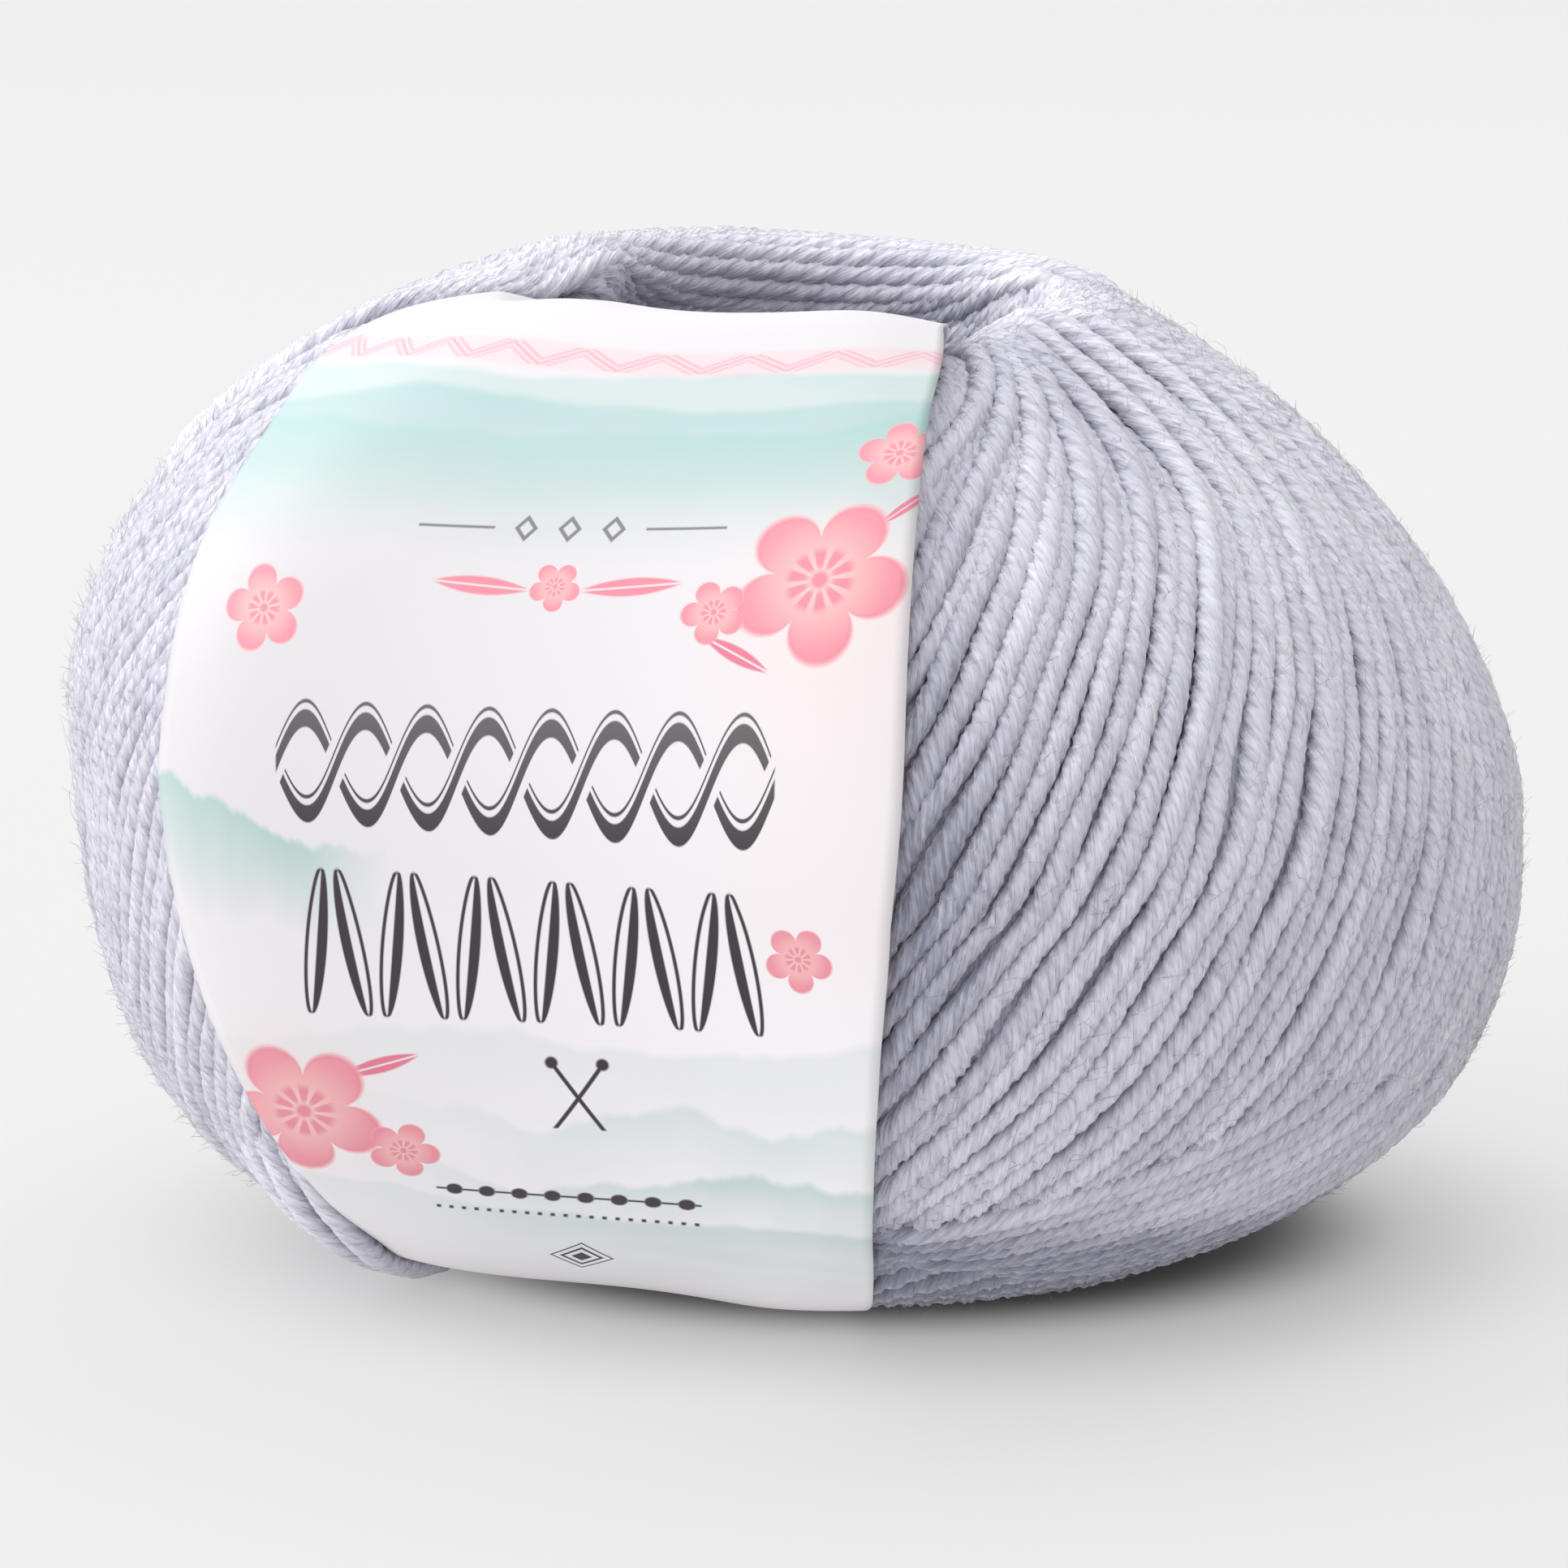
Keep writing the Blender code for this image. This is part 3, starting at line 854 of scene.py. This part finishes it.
def make_fibres(material, origin):
    """Short loose fibres, which lie over the strands and lift a little off them."""
    random = np.random.default_rng(31)
    azimuth = random.uniform(-HALF_TURN, HALF_TURN, FIBRES)
    turn = np.arcsin(random.uniform(*FIBRE_SINES, FIBRES)) * FIBRE_SPREAD
    heading = QUARTER_TURN + random.normal(*FIBRE_HEADING, FIBRES)
    loose = random.uniform(0.0, 1.0, FIBRES) < LOOSE_SHARE
    length = np.where(loose, random.uniform(*LOOSE_LENGTHS, FIBRES),
                      random.uniform(*LAID_LENGTHS, FIBRES)) * MM
    rise = np.where(loose, random.uniform(*LOOSE_RISES, FIBRES),
                    np.minimum(random.exponential(LAID_RISE, FIBRES), LAID_RISE_MOST)) * MM
    curl = random.normal(0.0, FIBRE_CURL, FIBRES)
    share = np.linspace(0.0, 1.0, FIBRE_POINTS)
    bearing = heading[:, None] + curl[:, None] * (share - 0.5)
    radius, _ = section(azimuth, turn)
    step = length[:, None] / (FIBRE_POINTS - 1)
    azimuths = azimuth[:, None] + np.cumsum(np.cos(bearing) * step, axis=1) / radius[:, None]
    turns = turn[:, None] + np.cumsum(np.sin(bearing) * step, axis=1) / BALL_RADIUS
    arch = np.where(loose[:, None], share ** 1.3, np.sin(share * math.pi))
    kept = (beside_band(azimuths, turns) > FIBRES_CLEAR).all(axis=1)
    middles = form_point(azimuths, turns, arch * rise[:, None] - FIBRE_ROOT)[kept]
    middles[..., 2] = np.maximum(middles[..., 2], LOWEST_LIFT)
    ahead = unit(np.gradient(middles, axis=1))
    side = unit(np.cross(ahead, np.array(FIBRE_UP)))
    out = np.cross(side, ahead)
    angle = np.arange(FIBRE_SIDES) / FIBRE_SIDES * FULL_TURN
    taper = (FIBRE_RADIUS * (1.0 - 0.6 * share ** 3))[:, None, None]
    ring = side[:, :, None] * np.cos(angle)[:, None] + out[:, :, None] * np.sin(angle)[:, None]
    points = (middles[:, :, None] + ring * taper).reshape(-1, 3)
    count, of_each = len(middles), FIBRE_POINTS * FIBRE_SIDES
    quads = np.arange(count)[:, None, None] * of_each + grid_quads(FIBRE_POINTS, FIBRE_SIDES)
    quads = quads.reshape(-1, 4)
    uv = np.tile(np.array([[0.0, 0.2], [0.0, 0.3], [0.5, 0.3], [0.5, 0.2]]), (len(quads), 1))
    tones = np.repeat(random.uniform(0.5, 1.0, count), of_each)
    yarn_piece("loose_fibres", points, quads, uv, tones, material, origin)


# ---- The paper band ----

# Its print is placed in mm: across the band from the middle of the front, and up from the widest
# ring
PAPER_WHITE = (0.98, 0.947, 0.977, 1.0)
# Painted shade: the grey to which the paper is drawn where the light falls strongest
PAPER_PAINTED_SHADE = (0.68, 0.658, 0.68, 1.0)
MINT = (0.38, 0.56, 0.55, 1.0)
DEEP_MINT = (0.335, 0.56, 0.525, 1.0)
PINK = (0.82, 0.26, 0.34, 1.0)
ROSE = (0.76, 0.20, 0.30, 1.0)
CORAL = (0.9, 0.55, 0.52, 1.0)
CHARCOAL = (0.045, 0.034, 0.042, 1.0)
WASHES = (
    # upper edge, length over which it fades below, unevenness, length of its waves, strength,
    # share of that which is left at the left edge, colour
    (35.2, 15.0, 1.2, 17.0, 0.6, 0.9, MINT),
    (32.2, 12.5, 1.4, 24.0, 0.85, 1.0, MINT),
    (30.2, 6.5, 1.6, 15.0, 0.5, 1.0, DEEP_MINT),
    (-11.0, 9.0, 2.0, 15.0, 0.24, 0.5, MINT),
    (-15.6, 8.0, 2.6, 10.0, 0.34, 0.1, DEEP_MINT),
    (-21.5, 7.0, 2.8, 12.0, 0.5, 0.1, DEEP_MINT),
    (-25.0, 16.0, 2.0, 16.0, 0.5, 0.3, MINT),
)
BLUSHES = (
    # middle, reach, strength
    ((19.0, 15.0), 11.0, 0.2),
    ((-19.0, -17.0), 9.0, 0.2),
    ((20.0, 0.0), 12.0, 0.1),
)
BLOSSOMS = (
    # middle, size, angle by which it is turned
    ((17.6, 18.6), 5.4, 0.4),
    ((11.2, 16.6), 2.1, 1.3),
    ((20.6, 27.6), 2.6, 2.0),
    ((-17.4, -17.6), 5.8, 0.9),
    ((-10.4, -20.4), 2.6, 0.2),
    ((-19.2, 16.2), 3.0, 1.7),
    ((17.2, -4.2), 2.2, 0.6),
    ((0.6, 18.3), 1.7, 0.78),
)
LEAVES = (
    # middle, half its length and width, slope, colour
    ((13.0, 13.9), (2.8, 0.55), -0.5, ROSE),
    ((22.0, 23.5), (2.6, 0.5), 0.9, ROSE),
    ((-11.6, -13.2), (3.2, 0.6), 0.35, ROSE),
    ((-21.0, -22.4), (2.8, 0.55), 0.8, ROSE),
    ((-4.4, 18.3), (3.4, 0.62), -0.08, PINK),
    ((5.6, 18.3), (3.4, 0.62), 0.08, PINK),
)


def washes(across, up, colour):
    """Bands of thin watercolour, each with an uneven upper edge and fading below it."""
    rightwards = across.math("MULTIPLY_ADD", 1.0 / 24.0, 0.6, clamped=True)
    for level, depth, uneven, length, strength, at_left, tint in WASHES:
        ripple = noise(across * (1.0 / length) + level, up * 0.02, 4.0) - 0.5
        under = up - ripple * (uneven * 4.0) - level
        grain = noise(across * 0.09 + level, up * 0.22, 4.0) * 0.7 + 0.62
        fading = under.math("MULTIPLY_ADD", 1.0 / depth, 1.0, clamped=True)
        share = rightwards * (1.0 - at_left) + at_left
        colour = blended(colour, tint, under.below(0.0, 0.7) * fading * grain * share * strength)
    return colour


def tinges(across, up, colour):
    """Soft clouds of colour: a hill of mint at the left and blushes of pink."""
    hills = noise(across * 0.16 + 3.0, up * 0.03, 5.0) * 9.0
    far = up - hills - across.math("MULTIPLY_ADD", -0.22, -6.4)
    hill = far.below(0.0, 0.5) * far.math("MULTIPLY_ADD", 1.0 / 6.5, 1.0, clamped=True)
    colour = blended(colour, DEEP_MINT, hill * across.below(-13.0, 6.0) * 0.75)
    for middle, reach, strength in BLUSHES:
        away = distance_from(across, up, middle)
        near = away.math("MULTIPLY_ADD", -1.0 / reach, 1.0, clamped=True)
        colour = blended(colour, CORAL, near * strength)
    return colour


def distance_from(across, up, middle):
    right, high = across - middle[0], up - middle[1]
    return (right * right + high * high).math("SQRT")


def zigzag_border(across, up, colour):
    """A zigzag of three lines in a faint band."""
    foot, pitch, steepness = 36.1, 5.6, 0.66
    colour = blended(colour, PINK, abs(up - (foot + 1.0)).below(1.35, 0.6) * 0.16)
    fold = abs(across.repeated(pitch)) * steepness
    inside = up.within(foot - 0.1, foot + 2.05)
    for shift, weight in ((-0.5, 0.34), (0.0, 0.5), (0.5, 0.42)):
        line = abs(up - fold - (foot + shift)).below(0.15, 0.18)
        colour = blended(colour, ROSE, line * inside * weight)
    return colour


def blossom(across, up, colour, middle, size, turned):
    """A five-petalled blossom, pale inside, with its stamens."""
    distance = distance_from(across, up, middle) * (1.0 / size)
    angle = (up - middle[1]).math("ARCTAN2", across - middle[0]) * 2.5 + turned
    petal = abs(angle.math("COSINE")).math("POWER", 0.55) * 0.5 + 0.5
    inside = distance - petal
    body = inside.below(0.0, 0.09)
    tint = distance.math("MULTIPLY_ADD", 1.5, -0.25, clamped=True)
    shaded = blended(colour, CORAL, body * 0.95)
    shaded = blended(shaded, PINK, body * tint * 0.85)
    rim = abs(inside + 0.05).below(0.025, 0.05)
    shaded = blended(shaded, ROSE, rim * 0.28)
    stamens = abs((angle * 2.0).math("COSINE")).above(0.55, 0.3) * distance.within(0.14, 0.38, 0.1)
    return blended(shaded, ROSE, stamens * 0.75 | distance.below(0.1, 0.06) * 0.8)


def leaf(across, up, colour, middle, half, slope, tint):
    """A slender leaf, pointed at both ends."""
    right, high = across - middle[0], up - middle[1]
    along = right + high * slope
    beside = high - right * slope
    outline = abs(beside) + along * along * (half[1] / half[0] ** 2)
    vein = abs(beside).above(0.07, 0.08)
    return blended(colour, tint, outline.below(half[1], 0.14) * vein)


def braid(across, up):
    """Two strokes that cross over and under each other, each with a thin line beside it."""
    pitch, middle, level = 8.4, -0.8, 6.4
    wave = (across - middle) * (FULL_TURN / pitch)
    swing = wave.math("SINE") * 3.1
    over = wave.math("COSINE").above(0.0, 0.02)
    strokes = []
    for sign, covered in ((1.0, over.flipped()), (-1.0, over)):
        own = up - level - swing * sign
        other = abs(up - level + swing * sign)
        stroke = own.within(-0.9, 0.25, 0.12) | own.within(0.66, 0.92, 0.1)
        clear = (other * 0.6).below(1.25, 0.1) * covered
        strokes.append(stroke * clear.flipped())
    return (strokes[0] | strokes[1]) * abs(across - middle).below(pitch * 2.0)


def stitches(across, up):
    """A row of knitted stitches, each two slanting drops, one side of them filled."""
    pitch, foot, height = 5.3, -9.6, 9.4
    side = (across + 0.9).repeated(pitch)
    share = (up - foot) * (1.0 / height)
    reach = abs(side) - share * 1.45 - 0.62
    belly = (share * math.pi).math("SINE").math("MAXIMUM", 0.0).math("SQRT") * 0.66
    edge = abs(reach) - belly
    outline = abs(edge).below(0.13, 0.1)
    filled = edge.below(0.0, 0.1) * reach.above(0.05, 0.1)
    drop = (outline | filled) * share.within(0.0, 1.0, 0.02)
    return drop * abs(across + 0.9).below(pitch * 3.0)


def small_marks(across, up):
    """Rules with diamonds between them, dots and dashes, a pair of needles and a lozenge."""
    rule_level, dot_level, fine_level = 22.4, -24.0, -26.3
    centred = across - 0.8
    rule = abs(up - rule_level).below(0.1, 0.1) * abs(centred).within(5.0, 10.2, 0.1)
    gems = abs(centred.repeated(2.9)) + abs(up - rule_level) * 0.8
    marks = rule | gems.within(0.45, 0.78, 0.1) * abs(centred).below(4.3)
    pitch = 2.3
    beside, over = across.repeated(pitch), up - dot_level
    dots = (beside.math("POWER", 2.0) + over.math("POWER", 2.0)).below(0.36, 0.2)
    dashes = abs((across + pitch / 2.0).repeated(pitch)).below(0.62) * abs(over).below(0.11)
    marks = marks | (dots | dashes) * abs(across - 1.0).below(9.2)
    fine = abs(across.repeated(0.9)).below(0.16) * abs(up - fine_level).below(0.2)
    marks = marks | fine * abs(across - 1.0).below(9.4)
    right, high = across - 2.0, up + 15.0
    for slope in (1.5, -1.5):
        needle = abs(high - right * slope) * 0.55
        marks = marks | needle.below(0.15, 0.1) * abs(high).below(2.5)
        knob = (right - 2.6 / slope).math("POWER", 2.0) + (high - 2.6).math("POWER", 2.0)
        marks = marks | knob.below(0.2, 0.15)
    lozenge = abs(right) * 1.2 + abs(up + 33.0)
    rings = lozenge.within(1.5, 1.9, 0.1) | lozenge.within(2.5, 2.75, 0.1)
    return marks | lozenge.below(0.9, 0.1) | rings


def make_paper_material():
    """Pale paper, printed with washes, blossoms, a zigzag border and rows of knitting motifs."""
    material, shader, add, link = new_material("printed_paper", Specular_IOR_Level=0.35)
    across, up = map_fields(add, "print")
    # Painted shade: the paper is drawn greyer towards the top and the left, where the lamps light
    # it most, and whiter towards the right and bottom
    paler = across * 0.0105 + up * -0.018 + 0.46
    colour = washes(across, up, blended(PAPER_PAINTED_SHADE, PAPER_WHITE, paler))
    colour = tinges(across, up, colour)
    colour = zigzag_border(across, up, colour)
    for middle, half, slope, tint in LEAVES:
        colour = leaf(across, up, colour, middle, half, slope, tint)
    for middle, size, turned in BLOSSOMS:
        colour = blossom(across, up, colour, middle, size, turned)
    ink = braid(across, up) | stitches(across, up) | small_marks(across, up)
    # The ink is drawn weaker towards the top
    ink_weaker_upwards = up.math("MULTIPLY_ADD", -0.014, 1.02, clamped=True)
    colour = blended(colour, CHARCOAL, ink * ink_weaker_upwards)
    link(colour, shader.inputs["Base Color"])
    fibres = noise(across * 2.2, up * 2.2, 4.0)
    bump = add("ShaderNodeBump", {"Height": fibres.socket, "Strength": 0.25, "Distance": 0.03 * MM})
    link(bump.outputs[0], shader.inputs["Normal"])
    roughness = fibres * 0.16 + 0.42
    link(roughness.socket, shader.inputs["Roughness"])
    return material


def print_places(azimuth, turn, points):
    """Where each point of the paper lies in the print: across and up, in mm."""
    across = lengths_along(points) / MM
    front, offset = PRINT_MIDDLE
    middle = np.array([np.interp(front, row, values) for row, values in zip(azimuth, across)])
    across = across - middle[:, None] + offset
    fine = np.linspace(-HALF_TURN, HALF_TURN, FINE_POINTS)
    lengths = lengths_along(form_point(0.0, fine, PAPER_LIFT) / MM)
    up = np.interp(wrapped(turn), fine, lengths) - lengths[len(fine) // 2]
    share = np.clip(up / PRINT_UNIT, -PRINT_REACH, PRINT_REACH)
    aside = np.clip(azimuth, *PRINT_ASIDE)
    slant = sum(factor * share ** power for power, factor in enumerate(PRINT_SLANT))
    bow = sum(factor * share ** power for power, factor in enumerate(PRINT_BOW))
    return np.stack([across, up + aside * slant + aside ** 2 * bow], axis=-1)


def make_label(material, origin):
    """The paper: a thin sheet bent along the form into a closed ring."""
    turn, share = np.meshgrid(-HALF_TURN + np.arange(PAPER_ROWS) / PAPER_ROWS * FULL_TURN,
                              np.linspace(0.0, 1.0, PAPER_COLUMNS + 1), indexing="ij")
    left, right = band_edges(turn)
    azimuth = left + (right - left) * share
    corner = smooth_fall(RAISED_REACH, np.abs(turn - RAISED_TURN))
    left_more, right_more = PAPER_EDGE_LIFTS
    more = np.where(share < 0.5, left_more, right_more + RAISED_CORNER * corner)
    lift = PAPER_LIFT + more * (2.0 * share - 1.0) ** 4
    lift = lift + (PAPER_LIFT_BELOW - lift) * smooth_step(*PRESSED_TURNS, turn)
    points = form_point(azimuth, turn, lift)
    points[..., 2] = np.maximum(points[..., 2], PAPER_THICKNESS)
    quads = grid_quads(PAPER_ROWS, PAPER_COLUMNS + 1, closed_rows=True, closed_columns=False)
    uv = print_places(azimuth, turn, points).reshape(-1, 2)[quads.ravel()]
    points = points.reshape(-1, 3) + origin
    piece = mesh_piece("printed_band", points, quads, material, {"print": uv})
    paper = piece.modifiers.new("paper", "SOLIDIFY")
    paper.thickness = PAPER_THICKNESS
    paper.offset = 0.0
    dress(piece, "label_band")


# ---- Floor, light and camera ----


def make_floor():
    """A pale table that reaches as far as the camera sees; it glows, and a painted shadow dims it
    where the ball covers it.
    """
    material, shader, add, link = new_material(
        "pale_floor", Base_Color=(0.2, 0.199, 0.2, 1.0), Emission_Color=(1.0, 0.992, 0.996, 1.0),
        Roughness=0.9, Specular_IOR_Level=0.1)
    place = add("ShaderNodeTexCoord")
    # Painted shadow: the glow is less in a patch under and beside the ball
    patch = {"Vector": place.outputs["Object"], "Location": SHADOW_MIDDLE,
             "Rotation": (0.0, 0.0, CAMERA_AZIMUTH), "Scale": SHADOW_SHAPE}
    shadow = add("ShaderNodeMapping", patch, vector_type="TEXTURE")
    away = add("ShaderNodeVectorMath", {0: shadow.outputs[0]}, operation="LENGTH")
    glows = []
    for start, full, glow in SHADOW_EDGES:
        rise = {"Value": away.outputs["Value"], "From Min": start, "From Max": full, "To Max": glow}
        glows.append(add("ShaderNodeMapRange", rise, interpolation_type="SMOOTHSTEP").outputs[0])
    total = add("ShaderNodeMath", enumerate(glows), operation="ADD")
    link(total.outputs[0], shader.inputs["Emission Strength"])
    bpy.ops.mesh.primitive_plane_add(size=FLOOR_SIZE, location=(0.0, 0.0, FLOOR_LEVEL))
    floor = bpy.context.object
    floor.name = "floor"
    floor.data.materials.append(material)


def make_light():
    """A bright room with its windows on the left, and two soft lamps."""
    world = bpy.data.worlds.new("bright_room")
    world.use_nodes = True
    add = node_adder(world.node_tree)
    background = world.node_tree.nodes["Background"]
    background.inputs["Color"].default_value = (1.0, 0.998, 0.996, 1.0)
    place = add("ShaderNodeTexCoord")
    slant = add("ShaderNodeVectorMath", {0: place.outputs["Generated"], 1: ROOM_SLANT},
                operation="DOT_PRODUCT")
    strength = add("ShaderNodeMath", {0: slant.outputs["Value"], 1: ROOM_STRENGTH}, operation="ADD")
    least = add("ShaderNodeMath", {0: strength.outputs[0], 1: ROOM_LEAST}, operation="MAXIMUM")
    world.node_tree.links.new(least.outputs[0], background.inputs["Strength"])
    bpy.context.scene.world = world
    for name, size, power, place in LAMPS:
        lamp = bpy.data.lights.new(name, "AREA")
        lamp.size = size
        lamp.energy = power
        holder = new_object(name, lamp)
        holder.location = place
        holder.rotation_euler = (-holder.location).to_track_quat("-Z", "Y").to_euler()


def make_camera(origin):
    data = bpy.data.cameras.new("camera")
    data.sensor_width = SENSOR
    data.lens = SENSOR * FOCAL_PIXELS / IMAGE_PIXELS
    data.shift_x = (IMAGE_PIXELS / 2.0 - AXIS_PIXEL[0]) / IMAGE_PIXELS
    data.shift_y = (AXIS_PIXEL[1] - IMAGE_PIXELS / 2.0) / IMAGE_PIXELS
    data.clip_start, data.clip_end = 0.01, 20.0
    level = math.cos(CAMERA_ELEVATION)
    back = Vector((math.sin(CAMERA_AZIMUTH) * level, -math.cos(CAMERA_AZIMUTH) * level,
                   math.sin(CAMERA_ELEVATION)))
    camera = new_object("camera", data)
    middle = Vector(origin) + Vector((0.0, 0.0, LOWER_HEIGHT - SETTLED))
    camera.location = middle + back * CAMERA_DISTANCE
    camera.rotation_euler = (-back).to_track_quat("-Z", "Y").to_euler()
    bpy.context.scene.camera = camera


def set_colours():
    view = bpy.context.scene.view_settings
    view.view_transform = "Standard"
    view.look = "None"
    view.exposure = 0.0
    view.gamma = 1.0


def main():
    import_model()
    origin = frame_place()
    make_camera(origin)
    yarn = make_yarn_material()
    make_core(yarn, origin)
    make_strands(yarn, origin)
    for loops in LOOPS:
        make_loops(loops, yarn, origin)
    make_edge_turns(yarn, origin)
    make_fibres(yarn, origin)
    make_label(make_paper_material(), origin)
    make_floor()
    make_light()
    set_colours()


main()
